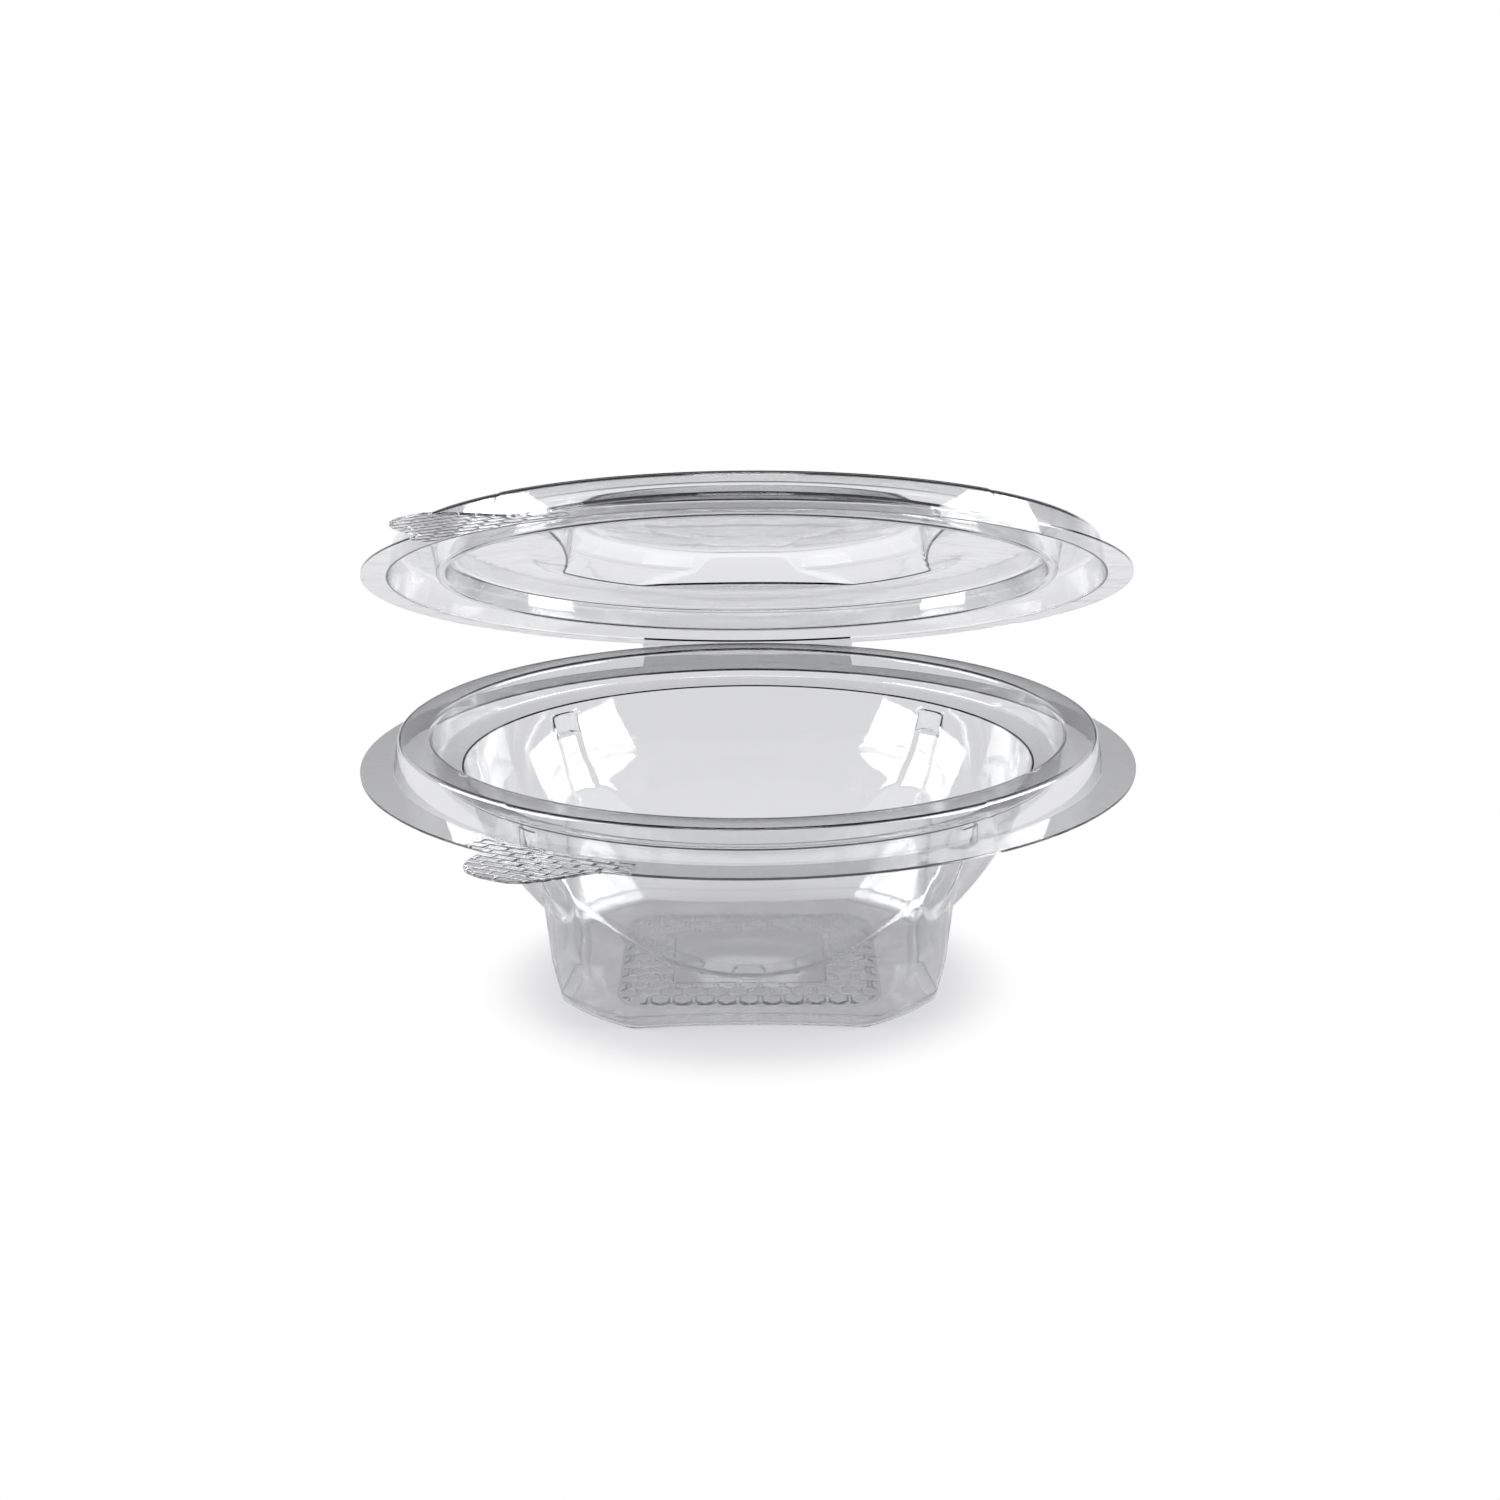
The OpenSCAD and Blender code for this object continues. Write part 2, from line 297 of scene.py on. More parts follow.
# %% Ball and foot
FOOT_HALF, FOOT_HEIGHT, FOOT_TOP = 30.9, 26, 29
FOOT_CORNER, CORNER_SWELL = 6, 6.5
FOOT_HOLLOW, HOLLOW_HALF = 1.3, 18.5
TRIM_R, TRIM_SKIN = 36.1, WALL * 1.1
FOOT_DRAFT = math.tan(math.radians(7.1))
TRIM_DRAFT = math.tan(math.radians(24.8))
CORNER_SOFT, CREASE_SOFT = 0.3, 0.2


def ball_radius(z):
    return math.sqrt(max(BALL_R * BALL_R - (z - BALL_Z) ** 2, 0))


def foot_radius(angle, z):
    half = FOOT_HALF - WALL + z * FOOT_DRAFT
    corner = FOOT_CORNER + CORNER_SWELL * (z / FOOT_HEIGHT) - WALL
    square = square_radius(angle, half, corner, FOOT_HOLLOW, HOLLOW_HALF)
    cone = TRIM_R - TRIM_SKIN + z * TRIM_DRAFT
    return soft_min(square, cone, CORNER_SOFT)


def round_off(gap, radius):
    if gap >= radius:
        return 0
    return radius - math.sqrt(radius ** 2 - (radius - gap) ** 2)


print("the foot is", round(2 * foot_radius(0, 0), 1), "mm across its hollow sides")

# %% [markdown]
# ## Ribs and ledges
#
# Four ribs stiffen the corners, and the ledge on top of each holds a nested
# bowl off the one below it. They could be separate boxes joined to the wall,
# but in one formed sheet they are only places where the wall stands further
# out, so they are a second step that is added to the ball's radius.

# %% Ribs, ledges and the whole wall
RIB_HALF, RIB_WIDENS, RIB_LENGTH = 2.2, 0.9, 13
RIB_OUT, RIB_EDGE = 0.5, 0.35
RIB_BEGIN, RIB_FULL = 15, 18
LEDGE_EDGE = 0.15


def rib_step(angle, z, r):
    a = (angle % (math.pi / 2)) - math.pi / 4
    off = abs(r * math.sin(a))
    half = RIB_HALF + RIB_WIDENS * step(LEDGE_LOW - z, 0, RIB_LENGTH)
    side = 1 - step(off, half - RIB_EDGE, half + RIB_EDGE)
    below_top = 1 - step(z, LEDGE_TOP - LEDGE_EDGE, LEDGE_TOP + LEDGE_EDGE)
    ledge = step(z, LEDGE_LOW - LEDGE_EDGE, LEDGE_LOW + LEDGE_EDGE) * below_top
    return side * max(RIB_OUT * below_top, ledge * (SHELF_R + RIB_OUT - r))


def wall_radius(angle, z):
    r = ball_radius(z)
    if z > RIB_BEGIN:
        r += rib_step(angle, z, r) * step(z, RIB_BEGIN, RIB_FULL)
    if z < FOOT_TOP:
        r = soft_max(r, foot_radius(angle, z), CREASE_SOFT)
    return r - round_off(max(z - WALL, 0), FOOT_ROUND)


print("the bowl is", round(2 * wall_radius(0, 30), 1), "mm across at a height of 30 mm")

# %% [markdown]
# ## The floor
#
# The foot stands on a narrow flat ring. Inside it the floor is raised a
# little, as a square panel with round corners, which keeps the middle clear
# of the table. The rings change by degrees from the outline of the foot to
# the outline of the panel, and then to a circle in the middle.

# %% Radius and height of the floor
PANEL_HALF, PANEL_CORNER, PANEL_RISE = 22.2, 6, 0.4
NEARLY_FLAT, PANEL_SIDE = 0.01, 16


def floor_point(angle, r):
    panel = square_radius(angle, PANEL_HALF - WALL, PANEL_CORNER - WALL, NEARLY_FLAT, PANEL_SIDE)
    foot = wall_radius(angle, WALL)
    if r > NOMINAL_PANEL:
        t = (r - NOMINAL_PANEL) / (NOMINAL_FOOT - NOMINAL_PANEL)
        return panel + (foot - panel) * t, WALL
    t = r / NOMINAL_PANEL
    return r * (1 + (panel / NOMINAL_PANEL - 1) * t), WALL + PANEL_RISE


print("the raised panel is", 2 * PANEL_HALF, "mm across")

# %% [markdown]
# ## The snap step
#
# Along the front the bead stands out a little further, so that the two beads
# hold each other when the container is shut. It could be a ring of its own,
# but a real one is formed into the bead. So it is a small shift of the bead's
# radius between two directions, and the lid uses the same one.

# %% Snap step on the front of a bead
SNAP_LEFT, SNAP_RIGHT = math.radians(39), math.radians(-38)
SNAP_END, SNAP_OUT = math.radians(0.3), 0.35
SNAP_FOOT = 0.3


def snap_shift(angle):
    a = (FRONT - angle + math.pi) % (2 * math.pi) - math.pi
    begins = step(a, SNAP_RIGHT - SNAP_END, SNAP_RIGHT + SNAP_END)
    ends = step(a, SNAP_LEFT - SNAP_END, SNAP_LEFT + SNAP_END)
    return SNAP_OUT * begins * (1 - ends)


print("the bead stands out by", snap_shift(FRONT), "mm at the front")

# %% [markdown]
# ## Making the bowl
#
# The spun skin is now pushed to shape. Each point asks one function where it
# belongs, and that function knows from the point's radius and height whether
# it is wall, floor, flange or bead. This keeps the grid of rings and spokes
# whole, which a cut or a boolean would not.

# %% Make the bowl
BOWL_TAB_FROM = math.radians(17.5)


def push(bm, place):
    for v in bm.verts:
        angle = math.atan2(v.co.y, v.co.x)
        angle, r, z = place(angle, math.hypot(v.co.x, v.co.y), v.co.z)
        v.co = (r * math.cos(angle), r * math.sin(angle), z)


def bowl_place(angle, r, z):
    if z < SHELF_Z - 0.1:
        if abs(r - WALL_MARK) < 0.01:
            return angle, wall_radius(angle, z), z
        return angle, *floor_point(angle, r)
    if r > BEAD_OUT + 0.3:
        return *flange_point(angle, r, BEAD_OUT + 0.4, RIM_R, BOWL_TAB_FROM), z
    if r > BEAD_OUT - 2:
        return angle, r + snap_shift(angle) * step(z, RIM_Z, RIM_Z + SNAP_FOOT), z
    return angle, r, z


bowl_mesh = spin_profile(profile)
push(bowl_mesh, bowl_place)
print("skin of the bowl:", len(bowl_mesh.faces), "faces")

# %% [markdown]
# ## Giving the skin its thickness
#
# Only one skin of the sheet exists so far. Its faces must all look the same
# way before it gets a second skin, or the wall would fold through itself.
# Then `bmesh.ops.solidify` adds the other side and closes the cut edge. Edges
# sharper than 50 degrees are marked, so that the cut edge stays crisp while
# the rest is shaded smooth.

# %% Close a skin and hand it to the scene
MIDDLE_R = 20
TO_METRES, TO_MM = 0.001, 1000
SHARP = math.radians(50)


def close_sheet(bm, upward):
    bmesh.ops.recalc_face_normals(bm, faces=bm.faces)
    middle = [f for f in bm.faces if f.calc_center_median().xy.length < MIDDLE_R]
    flattest = max(middle, key=lambda f: f.calc_area() * abs(f.normal.z))
    if (flattest.normal.z > 0) != upward:
        bmesh.ops.reverse_faces(bm, faces=bm.faces)
    bmesh.ops.solidify(bm, geom=bm.faces, thickness=WALL)


def to_object(bm, name, turn=None):
    if turn:
        bmesh.ops.transform(bm, matrix=turn, verts=bm.verts)
    bmesh.ops.scale(bm, vec=(TO_METRES, TO_METRES, TO_METRES), verts=bm.verts)
    mesh = bpy.data.meshes.new(name)
    volume = bm.calc_volume(signed=True)
    bm.to_mesh(mesh)
    bm.free()
    mesh.shade_smooth()
    mesh.set_sharp_from_angle(angle=SHARP)
    piece = bpy.data.objects.new(name, mesh)
    scene.collection.objects.link(piece)
    low = [round(min(v.co[i] for v in mesh.vertices) * TO_MM, 2) for i in range(3)]
    high = [round(max(v.co[i] for v in mesh.vertices) * TO_MM, 2) for i in range(3)]
    print(name, len(mesh.polygons), "faces,", round(volume * TO_MM ** 3), "mm3, from", low, "to", high)
    return piece


close_sheet(bowl_mesh, True)
bowl_sheet = to_object(bowl_mesh, "bowl_sheet")

# %% [markdown]
# ## The lid
#
# The lid is modelled shut, in the same place as on the real thing when it is
# closed, because its bead must fit over the bead of the bowl. Its middle is a
# raised square with hollow sides, and its corners slope to a round crown. It
# is turned open about the fold at the end.

# %% Profile of the lid
LID_R, LID_Z, LID_BEAD_OUT = 64.4, 37.9, 59.9
LID_BEAD_Z, GROOVE_Z = 43.3, 38.6
FLAT_R, FLAT_Z = 38.6, 43.8
TOP_MARK, TOP_INNER, TOP_NOMINAL = 30, 27, 28.5
SLOPE_H, TOP_H = 2.5, 5.5
lid_path = soft_path(
    [(LID_BEAD_OUT, LID_Z), (58.9, LID_BEAD_Z), (52.7, LID_BEAD_Z), (52.0, GROOVE_Z),
     (50.4, GROOVE_Z), (49.5, 42.4), (FLAT_R, FLAT_Z)], [0.8, 0.8, 0.6, 0.6, 0.6], 4)
lid_flange = [(LID_R - (LID_R - LID_BEAD_OUT - 0.4) * k / 6, LID_Z) for k in range(7)]
panel = [lid_path[-1].lerp(lid_path[-2], 1 - k / 8) for k in range(1, 8)]
top_h = [0, 0.03, 0.1, 0.25, 0.8, 1.4, 1.9, 2.3, 2.6, 2.9, 3.3, 3.8, 4.3, 4.7, 5.0, 5.25, 5.42,
         TOP_H]
lid_profile = lid_flange + lid_path[:-1] + panel
lid_profile += [(FLAT_R - 0.2 * k, FLAT_Z) for k in range(5)]
lid_profile += [(TOP_MARK, FLAT_Z + h) for h in top_h]
lid_profile += [(TOP_INNER * (1 - k / 14), FLAT_Z + TOP_H) for k in range(15)]
print("profile of the lid:", len(lid_profile), "points")

# %% [markdown]
# ## The raised middle of the lid
#
# The same hollow-sided square is used again, smaller and lower. A cone trims
# its corners: first a shallow one, which gives the sloping corner faces, and
# above it a steep one, which gives the round crown. So the whole raised
# middle is again one radius for each direction and height.

# %% Radius of the raised middle
TOP_HALF, TOP_CORNER, TOP_HOLLOW = 32.2, 3, 1.7
TOP_DRAFT = math.tan(math.radians(10.8))
CONE_FOOT, CONE_KNEE, CROWN_TAPER = 37.6, 31.8, 1.6
TOP_ROUND = 0.8


def top_radius(angle, h):
    h = min(max(h, 0), TOP_H)
    square = square_radius(angle, TOP_HALF - h * TOP_DRAFT, TOP_CORNER, TOP_HOLLOW, HOLLOW_HALF)
    if h < SLOPE_H:
        cone = CONE_FOOT + (CONE_KNEE - CONE_FOOT) * h / SLOPE_H
    else:
        cone = CONE_KNEE - CROWN_TAPER * (h - SLOPE_H) / (TOP_H - SLOPE_H)
    return soft_min(square, cone, CORNER_SOFT) - round_off(TOP_H - h, TOP_ROUND)


print("the crown is", round(2 * top_radius(math.pi / 4, TOP_H), 1), "mm across")

# %% [markdown]
# ## Making the lid
#
# The lid is pushed like the bowl, by one function that tells flange, bead,
# panel and raised middle apart. The turn about the fold comes last, so that
# every size above is that of the lid when it is shut.

# %% Where a point of the lid belongs
LID_TAB_FROM = math.radians(30)


def lid_place(angle, r, z):
    if r > LID_BEAD_OUT + 0.3:
        return *flange_point(angle, r, LID_BEAD_OUT + 0.4, LID_R, LID_TAB_FROM), z
    if r > LID_BEAD_OUT - 2.4:
        return angle, r + snap_shift(angle) * step(z, LID_Z, LID_Z + SNAP_FOOT), z
    if z < FLAT_Z - SEAM_GAP or r > FLAT_R + 0.01:
        return angle, r, z
    if r > CONE_FOOT + 0.1:
        base = top_radius(angle, 0)
        return angle, base + (FLAT_R - base) * (r - CONE_FOOT) / (FLAT_R - CONE_FOOT), z
    if abs(r - TOP_MARK) < 0.01:
        return angle, top_radius(angle, z - FLAT_Z), z
    spread = top_radius(angle, TOP_H) / TOP_NOMINAL - 1
    return angle, r * (1 + spread * r / TOP_NOMINAL), z


print("the lid's tab begins", round(math.degrees(LID_TAB_FROM)), "degrees from the front")

# %% Make the lid
open_lid = (Matrix.Translation((0, FOLD_Y, FOLD_Z)) @ Matrix.Rotation(-LID_OPEN, 4, "X")
            @ Matrix.Translation((0, -FOLD_Y, -FOLD_Z)))
lid_mesh = spin_profile(lid_profile)
push(lid_mesh, lid_place)
close_sheet(lid_mesh, False)
lid_sheet = to_object(lid_mesh, "lid_sheet", open_lid)

# %% [markdown]
# ## The folding strip
#
# At the back the two flanges are joined by a strip of the same sheet, folded
# once. On the real container it is the one part that bends. Here it is a piece
# of its own, which lies on the bowl at one end and on the lid at the other. It
# starts as a flat grid. Its rows are laid over the bowl's half, round the fold
# and over the lid's half, and it gets its thickness last.

# %% Rows of the strip
HINGE_HALF = 20.5
FOLD_GAP = 0.15
STRIP_COLUMNS = 40


def strip_rows():
    rows = [("bowl", t) for t in (0, 0.35, 0.7, 0.9, 1)]
    rows += [("arc", t / 8) for t in range(1, 8)]
    return rows + [("lid", t) for t in (1, 0.9, 0.7, 0.35, 0)]


def strip_point(x, row, t):
    if row == "bowl":
        y0 = math.sqrt(RIM_R ** 2 - x * x)
        return Vector((x, y0 + (FOLD_Y - y0) * t, RIM_Z))
    if row == "lid":
        y0 = math.sqrt(LID_R ** 2 - x * x)
        return open_lid @ Vector((x, y0 + (FOLD_Y - y0) * t, LID_Z))
    a = -math.pi / 2 + (math.pi - LID_OPEN) * t
    return Vector((x, FOLD_Y + FOLD_GAP * math.cos(a), FOLD_Z + FOLD_GAP * math.sin(a)))


rows = strip_rows()
print("the strip has", len(rows), "rows")

# %% Make the strip
strip_mesh = bmesh.new()
bmesh.ops.create_grid(strip_mesh, x_segments=STRIP_COLUMNS, y_segments=len(rows) - 1, size=0.5)
for v in strip_mesh.verts:
    x = HINGE_HALF * 2 * v.co.x
    row, t = rows[round((v.co.y + 0.5) * (len(rows) - 1))]
    v.co = strip_point(x, row, t)
bmesh.ops.recalc_face_normals(strip_mesh, faces=strip_mesh.faces)
lowest = min(strip_mesh.faces, key=lambda f: f.calc_center_median().z)
if lowest.normal.z < 0:
    bmesh.ops.reverse_faces(strip_mesh, faces=strip_mesh.faces)
bmesh.ops.solidify(strip_mesh, geom=strip_mesh.faces, thickness=WALL)
fold_strip = to_object(strip_mesh, "fold_strip")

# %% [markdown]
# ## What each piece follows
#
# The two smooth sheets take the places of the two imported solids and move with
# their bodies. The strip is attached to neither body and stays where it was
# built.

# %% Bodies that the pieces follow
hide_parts("bowl")
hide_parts("lid")
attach(bowl_sheet, "bowl")
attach(lid_sheet, "lid")
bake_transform(fold_strip)

# %% [markdown]
# ## Shader maths in Python
#
# Patterns such as a honeycomb are sums, and wiring dozens of Math nodes by
# hand is hard to read. `Value` wraps one socket, and each operator on it adds
# the Math node that does it. `Shading.node` makes every other node.

# %% Value and Shading
def plug(tree, socket, value):
    if isinstance(value, Value):
        tree.links.new(value.socket, socket)
    else:
        socket.default_value = value


class Value:
    def __init__(self, tree, socket):
        self.tree, self.socket = tree, socket

    def math(self, operation, *values):
        node = self.tree.nodes.new("ShaderNodeMath")
        node.operation = operation
        for socket, value in zip(node.inputs, values):
            plug(self.tree, socket, value)
        return Value(self.tree, node.outputs[0])

    def __add__(self, other):
        return self.math("ADD", self, other)

    def __radd__(self, other):
        return self.math("ADD", other, self)

    def __sub__(self, other):
        return self.math("SUBTRACT", self, other)

    def __rsub__(self, other):
        return self.math("SUBTRACT", other, self)

    def __mul__(self, other):
        return self.math("MULTIPLY", self, other)

    def __rmul__(self, other):
        return self.math("MULTIPLY", other, self)

    def __mod__(self, other):
        return self.math("FLOORED_MODULO", self, other)

    def __abs__(self):
        return self.math("ABSOLUTE", self)

    def root(self):
        return self.math("SQRT", self)

    def minimum(self, other):
        return self.math("MINIMUM", self, other)

    def maximum(self, other):
        return self.math("MAXIMUM", self, other)


class Shading:
    def __init__(self, tree):
        self.tree = tree
        tree.nodes.clear()

    def node(self, kind, settings=None, sockets=None, out=0):
        node = self.tree.nodes.new(kind)
        for key, value in (settings or {}).items():
            setattr(node, key, value)
        for key, value in (sockets or {}).items():
            plug(self.tree, node.inputs[key], value)
        outputs = [Value(self.tree, socket) for socket in node.outputs]
        return outputs if out is None else outputs[out]

    def smooth(self, value, low, high):
        return self.node("ShaderNodeMapRange", {"interpolation_type": "SMOOTHSTEP"},
                         {"Value": value, "From Min": low, "From Max": high,
                          "To Min": 0.0, "To Max": 1.0})

    def mix_colour(self, factor, first, second):
        return self.node("ShaderNodeMix", {"data_type": "RGBA"},
                         {0: factor, 6: first, 7: second}, out=2)

    def mix_shader(self, factor, first, second):
        return self.node("ShaderNodeMixShader", None, {0: factor, 1: first, 2: second})

    def finish(self, surface, kind="ShaderNodeOutputMaterial"):
        self.node(kind, None, {"Surface": surface}, out=None)


# Places of the outputs used from Light Path and Texture Coordinate.
CAMERA_RAY, SHADOW_RAY, GLOSSY_RAY, TRANSMISSION_RAY = 0, 1, 3, 6
GENERATED, OBJECT = 0, 3
print("values can be added, subtracted, multiplied and wrapped round")


# %% [markdown]
# ## Clear formed plastic
#
# The sheet is colourless and glossy, and lets nearly all light through. A
# glass shader with the refraction of this plastic bends light in the 0.4 mm
# wall, which draws the thin dark lines along the beads and creases. For rays
# from the lamps it turns into a plain tinted window, because otherwise the
# light would be lost and the shadow would be as dark as that of a solid.

# %% Coordinates in millimetres
def sheet_coordinates(s, shift, turn):
    place = s.node("ShaderNodeTexCoord", out=OBJECT)
    shut = s.node("ShaderNodeMapping", {"vector_type": "POINT"},
                  {"Vector": place, "Location": shift, "Rotation": turn,
                   "Scale": (TO_MM, TO_MM, TO_MM)})
    return shut, s.node("ShaderNodeSeparateXYZ", None, {0: shut}, out=None)


print("patterns are drawn in millimetres, as on the shut container")

# %% [markdown]
# ## Embossed patterns
#
# The floor has a honeycomb round a plain middle, so that the bowl does not
# slide. A honeycomb is the set of points that lie half way between the
# centres of two interleaved grids, so the distance to the nearest centre
# draws it. The tabs have a woven pattern that helps the fingers grip. Such
# relief is far too fine to model, so it is a height for a bump.

# %% Honeycomb of the floor
COMB_PITCH, COMB_LINE, COMB_DEPTH = 3.7, 0.55, 0.45
COMB_OUT, COMB_OUT_CORNER = 21.4, 6
PLAIN_X, PLAIN_Y, PLAIN_CORNER = 13.1, 12.4, 1.5
PLAIN_DEPTH = 0.25
FLOOR_FROM, FLOOR_TO = 2.0, 2.4


def hex_distance(x, y):
    x, y = abs(x), abs(y)
    return x.maximum(x * 0.5 + y * (math.sqrt(3) / 2))


def honeycomb(s, x, y, period, width):
    tall = period * math.sqrt(3)
    a = hex_distance(x % period - period / 2, y % tall - tall / 2)
    b = hex_distance((x + period / 2) % period - period / 2, (y + tall / 2) % tall - tall / 2)
    return s.smooth(a.minimum(b), period / 2 - width, period / 2 - width * 0.3)


def rounded_box(x, y, half_x, half_y, r):
    dx = (abs(x) - (half_x - r)).maximum(0)
    dy = (abs(y) - (half_y - r)).maximum(0)
    return (dx * dx + dy * dy).root() - r


def near_floor(s, z):
    return 1 - s.smooth(z, FLOOR_FROM, FLOOR_TO)


def floor_relief(s, x, y, z):
    outside = rounded_box(x, y, COMB_OUT, COMB_OUT, COMB_OUT_CORNER)
    inside = rounded_box(x, y, PLAIN_X, PLAIN_Y, PLAIN_CORNER)
    ring = (1 - s.smooth(outside, -0.3, 0.1)) * s.smooth(inside, -0.1, 0.3)
    comb = honeycomb(s, x, y, COMB_PITCH, COMB_LINE) * COMB_DEPTH * ring
    return (comb - PLAIN_DEPTH * s.smooth(inside, -0.25, 0.0)) * near_floor(s, z)


print("the honeycomb repeats every", COMB_PITCH, "mm")

# %% [markdown]
# ## Plain rings of the floor
#
# Three small raised rings stand in the plain middle of the floor. A ring is
# the set of points at one distance from a centre, so a narrow hump at that
# distance draws it.

# %% Rings of the floor
RINGS = ((-9.7, -3.9, 1.9), (9.7, -3.9, 1.9), (0, -7.3, 2.8))
RING_HEIGHT = 0.3


def ring_mark(s, x, y, cx, cy, r):
    dx, dy = x - cx, y - cy
    from_line = abs((dx * dx + dy * dy).root() - r)
    return 1 - s.smooth(from_line, 0.05, 0.25)


print("rings on the floor:", len(RINGS))

# %% [markdown]
# ## Weave of the tabs
#
# The weave is Blender's brick pattern, with soft mortar, turned a little as
# on the real tabs. It must end where the tab ends, so a mask keeps it to the
# part of the flange outside the bead and between two directions.

# %% Weave of a tab
BOWL_TAB_ARC, LID_TAB_ARC = (15.5, 40), (24, 52)
WEAVE_DEPTH, WEAVE_TURN = 0.22, math.radians(28)
WEAVE_FADE = 0.02
BRICKS = {"Color1": (1, 1, 1, 1), "Color2": (1, 1, 1, 1), "Mortar": (0, 0, 0, 1),
          "Scale": 1.0, "Mortar Size": 0.4, "Mortar Smooth": 1.0,
          "Brick Width": 3.8, "Row Height": 1.7}


def tab_relief(s, place, x, y, arc):
    begin, end = (math.radians(a) for a in arc)
    radius = (x * x + y * y).root()
    angle = x.math("ARCTAN2", x * -1, y * -1)
    past_begin = s.smooth(angle, begin, begin + WEAVE_FADE)
    past_end = s.smooth(angle, end, end + WEAVE_FADE)
    mask = s.smooth(radius, 60.6, 61.0) * past_begin * (1 - past_end)
    lay = s.node("ShaderNodeMapping", None, {"Vector": place, "Rotation": (0, 0, WEAVE_TURN)})
    weave = s.node("ShaderNodeTexBrick", {"offset": 0.5, "squash": 1.0},
                   {"Vector": lay, **BRICKS}, out=1)
    return weave * mask


print("the weave is", WEAVE_DEPTH, "mm deep")

# %% [markdown]
# ## The material itself
#
# All the heights go into one bump. Seen at a flat angle a ray crosses much
# more plastic, so the colour deepens a little there, which draws the edges of
# the sheet. The lid's patterns are laid out as on the shut lid and turned
# open with it, so its coordinates are shifted and turned back first.

# %% Clear plastic material
RIPPLE = 0.03
PLASTIC_IOR = 1.58
FACE_TINT, EDGE_TINT = (0.95, 0.952, 0.955, 1), (0.72, 0.722, 0.73, 1)
SHADOW_TINT = (0.90, 0.90, 0.91, 1)


def clear_plastic(name, tab_arc=None, has_floor=False, shift=(0, 0, 0), turn=(0, 0, 0)):
    material = bpy.data.materials.new(name)
    material.use_nodes = True
    s = Shading(material.node_tree)
    place, (x, y, z) = sheet_coordinates(s, shift, turn)
    ripple = s.node("ShaderNodeTexNoise", {"noise_dimensions": "3D"},
                    {"Vector": place, "Scale": 0.16, "Detail": 2.0, "Roughness": 0.5})
    height = ripple * RIPPLE
    if tab_arc:
        height = height + tab_relief(s, place, x, y, tab_arc) * WEAVE_DEPTH
    if has_floor:
        height = height + floor_relief(s, x, y, z)
        for ring in RINGS:
            height = height + ring_mark(s, x, y, *ring) * RING_HEIGHT * near_floor(s, z)
    bump = s.node("ShaderNodeBump", None, {"Strength": 1.0, "Distance": 0.001, "Height": height})
    smudge = s.node("ShaderNodeTexNoise", None, {"Vector": place, "Scale": 0.05, "Detail": 3.0})
    facing = s.node("ShaderNodeLayerWeight", None, {"Blend": 0.5}, out=1)
    tint = s.mix_colour(facing * facing, FACE_TINT, EDGE_TINT)
    glass = s.node("ShaderNodeBsdfPrincipled", None, {
        "Base Color": tint, "Roughness": smudge * 0.06 + 0.01, "IOR": PLASTIC_IOR,
        "Transmission Weight": 1.0, "Normal": bump})
    window = s.node("ShaderNodeBsdfTransparent", None, {"Color": SHADOW_TINT})
    s.finish(s.mix_shader(s.node("ShaderNodeLightPath", out=SHADOW_RAY), glass, window))
    return material


fold = Vector((0, FOLD_Y, FOLD_Z))
lid_shift = Matrix.Rotation(LID_OPEN, 4, "X") @ -fold + fold
bowl_clear = clear_plastic("bowl_clear_plastic", BOWL_TAB_ARC, has_floor=True)
lid_clear = clear_plastic("lid_clear_plastic", LID_TAB_ARC, shift=lid_shift, turn=(LID_OPEN, 0, 0))
strip_clear = clear_plastic("strip_clear_plastic")
dressed = ((bowl_sheet, bowl_clear), (lid_sheet, lid_clear), (fold_strip, strip_clear))
for piece, material in dressed:
    piece.data.materials.append(material)
print("materials:", [m.name for m in bpy.data.materials])

# %% [markdown]
# ## Studio
#
# The container stands on a white floor that runs into a white background. The
# floor is a lit surface near the object, so that it takes the soft shadow,
# and turns into plain white further out. Clear plastic shows only what is
# round it, so rays that it mirrors or lets through see a pale grey floor.

# %% Floor
FLOOR_R = 3
SHADOW_AT, SHADOW_IN, SHADOW_OUT = (0, -0.008, 0), 0.031, 0.047
STUDIO_WHITE, STUDIO_PALE = (1, 1, 1, 1), (0.80, 0.80, 0.81, 1)
PALE_FAR_OFF = (1.0, 1.0, 1.0125, 1)

floor_mesh = bmesh.new()
bmesh.ops.create_circle(floor_mesh, cap_ends=True, segments=64, radius=FLOOR_R)
floor_data = bpy.data.meshes.new("studio_floor")
floor_mesh.to_mesh(floor_data)
floor_mesh.free()
floor = bpy.data.objects.new("studio_floor", floor_data)
scene.collection.objects.link(floor)

floor_white = bpy.data.materials.new("floor_white")
floor_white.use_nodes = True
s = Shading(floor_white.node_tree)
place = s.node("ShaderNodeTexCoord", out=OBJECT)
away = s.node("ShaderNodeVectorMath", {"operation": "LENGTH"}, {0: place}, out=1)
ahead = s.node("ShaderNodeVectorMath", {"operation": "DISTANCE"}, {0: place, 1: SHADOW_AT}, out=1)
far = s.smooth(ahead, SHADOW_IN, SHADOW_OUT)
wide = s.smooth(away, 0.05, 0.15)
seen = s.node("ShaderNodeLightPath", out=CAMERA_RAY)
glossy = s.node("ShaderNodeLightPath", out=GLOSSY_RAY)
through = s.node("ShaderNodeLightPath", out=TRANSMISSION_RAY)
lit = s.node("ShaderNodeBsdfDiffuse", None, {"Color": (0.9, 0.9, 0.91, 1)})
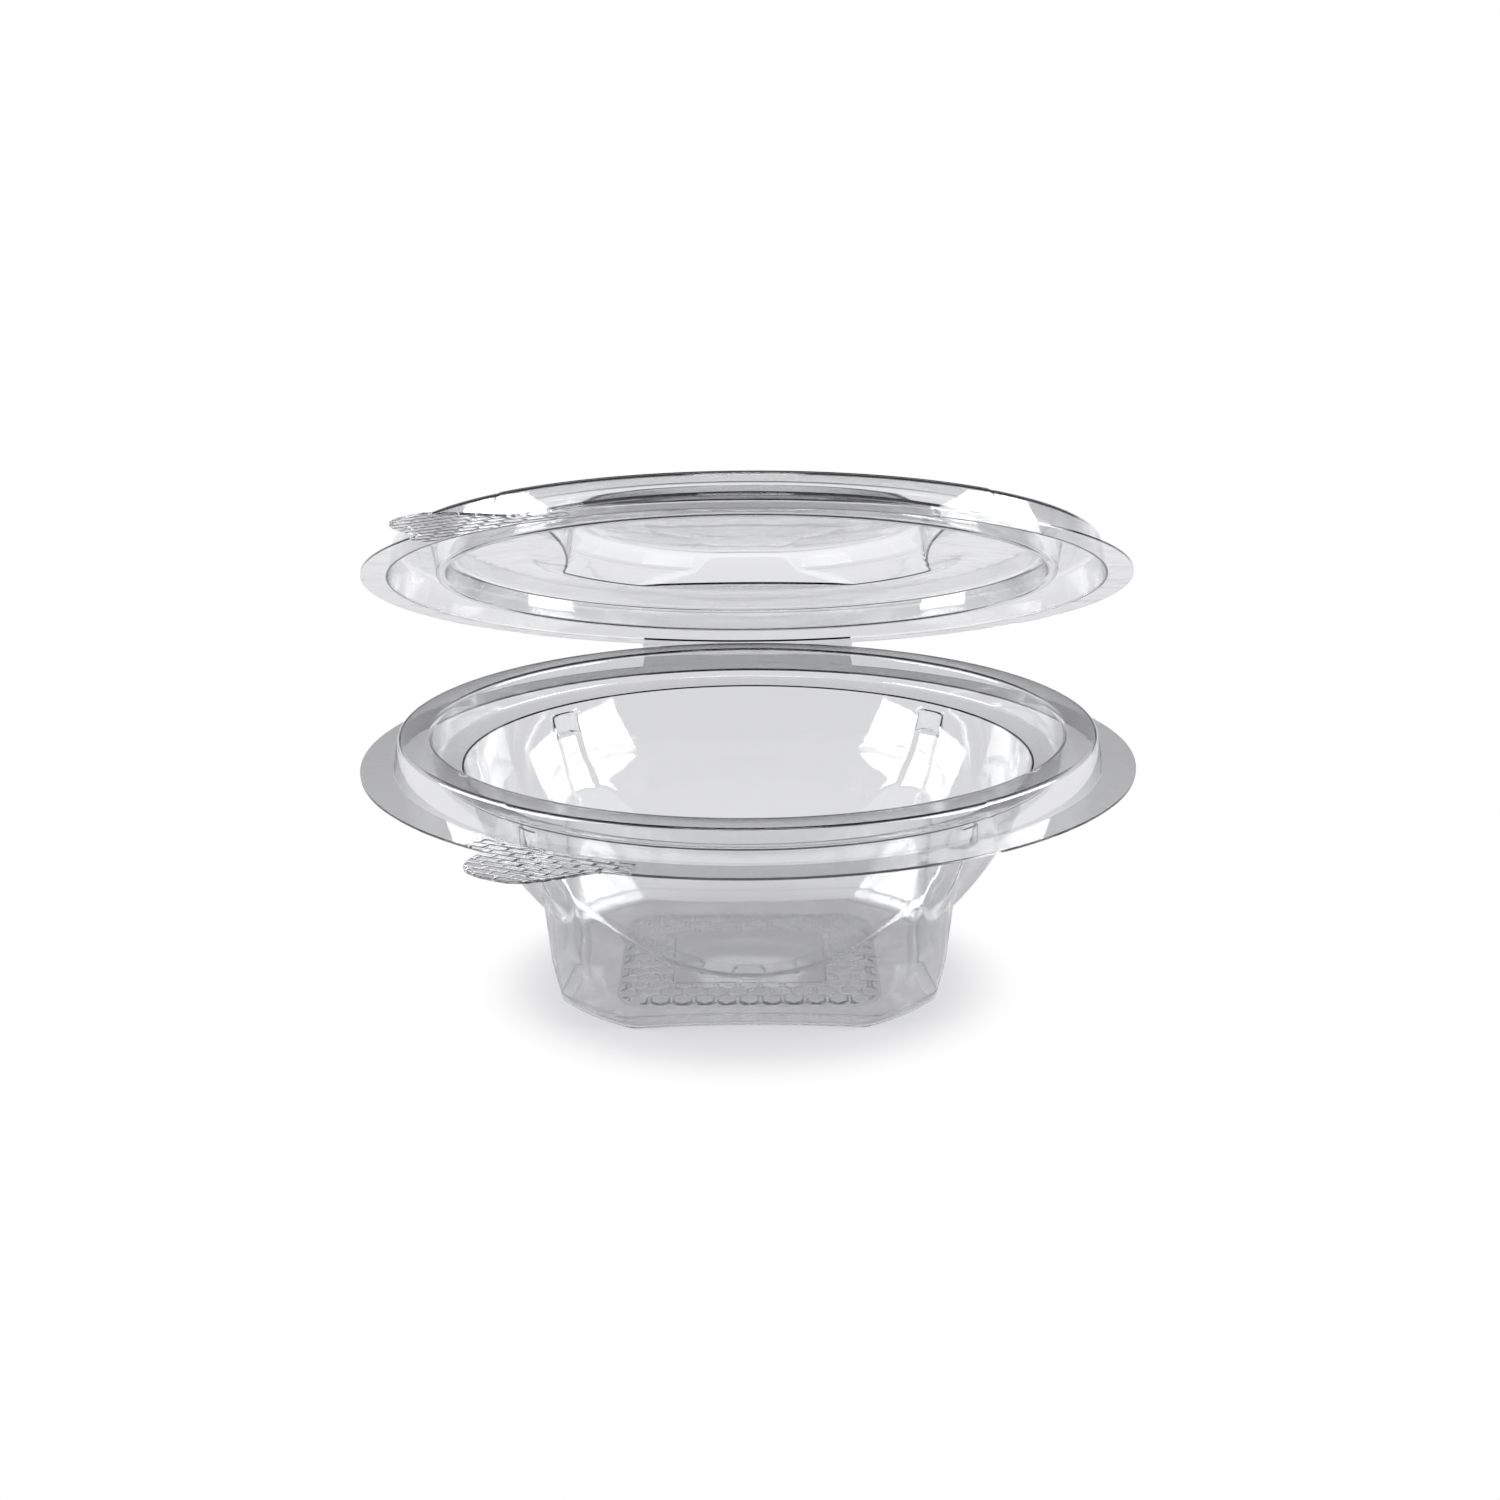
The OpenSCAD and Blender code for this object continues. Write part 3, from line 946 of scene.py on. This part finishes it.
white = s.node("ShaderNodeEmission", None, {"Color": STUDIO_WHITE, "Strength": 1.0})
pale_colour = s.mix_colour(s.smooth(away, 0.22, 0.45), STUDIO_PALE, PALE_FAR_OFF)
pale = s.node("ShaderNodeEmission", None, {"Color": pale_colour, "Strength": 1.0})
inside = s.mix_shader(glossy.maximum(through) * wide, lit, pale)
s.finish(s.mix_shader(seen * (0.1 + far * 0.9), inside, white))
floor.data.materials.append(floor_white)
print("the floor is", 2 * FLOOR_R, "m across and turns white at", SHADOW_OUT, "m")

# %% [markdown]
# ## The room
#
# The camera sees a white world. The plastic sees a dark room, with a pale
# band low down behind the container, which it mirrors as grey lines and
# bands. In an all-white room clear plastic would be nearly invisible.

# %% World
DARK_ROOM = (0.035, 0.035, 0.037, 1)

world = bpy.data.worlds.new("studio_world")
scene.world = world
world.use_nodes = True
s = Shading(world.node_tree)
direction = s.node("ShaderNodeTexCoord", out=GENERATED)
_, back, height = s.node("ShaderNodeSeparateXYZ", None, {0: direction}, out=None)
behind = s.smooth(back, 0.2, 0.6) * (1 - s.smooth(height, -0.02, 0.12))
seen = s.node("ShaderNodeLightPath", out=CAMERA_RAY)
room = s.node("ShaderNodeBackground", None, {"Color": DARK_ROOM, "Strength": 1.0})
pale = s.node("ShaderNodeBackground", None, {"Color": STUDIO_PALE, "Strength": 1.0})
white = s.node("ShaderNodeBackground", None, {"Color": STUDIO_WHITE, "Strength": 1.0})
s.finish(s.mix_shader(seen, s.mix_shader(behind, room, pale), white), "ShaderNodeOutputWorld")
print("the world is white for the camera and dark for the plastic")

# %% [markdown]
# ## The lamps
#
# Two wide softboxes stand at the sides, which puts a long bright window on
# each side of the bowl and the lid. A weak one above lights the floor, so
# that the shadow stays soft and close to the foot.

# %% Lamps
def softbox(name, place, aim, size, power):
    data = bpy.data.lights.new(name, "AREA")
    data.shape, data.size, data.size_y, data.energy = "RECTANGLE", size[0], size[1], power
    lamp = bpy.data.objects.new(name, data)
    lamp.location = place
    lamp.rotation_euler = (Vector(aim) - Vector(place)).to_track_quat("-Z", "Y").to_euler()
    scene.collection.objects.link(lamp)
    return lamp


softbox("softbox_left", (-0.85, -0.05, 0.40), (0, 0, 0.03), (0.9, 0.4), 9)
softbox("softbox_right", (0.85, -0.05, 0.40), (0, 0, 0.03), (0.9, 0.4), 9)
softbox("softbox_top", (0, 0.1, 1.1), (0, 0, 0), (0.4, 0.4), 2.5)
print("lamps:", [light.name for light in bpy.data.lights])
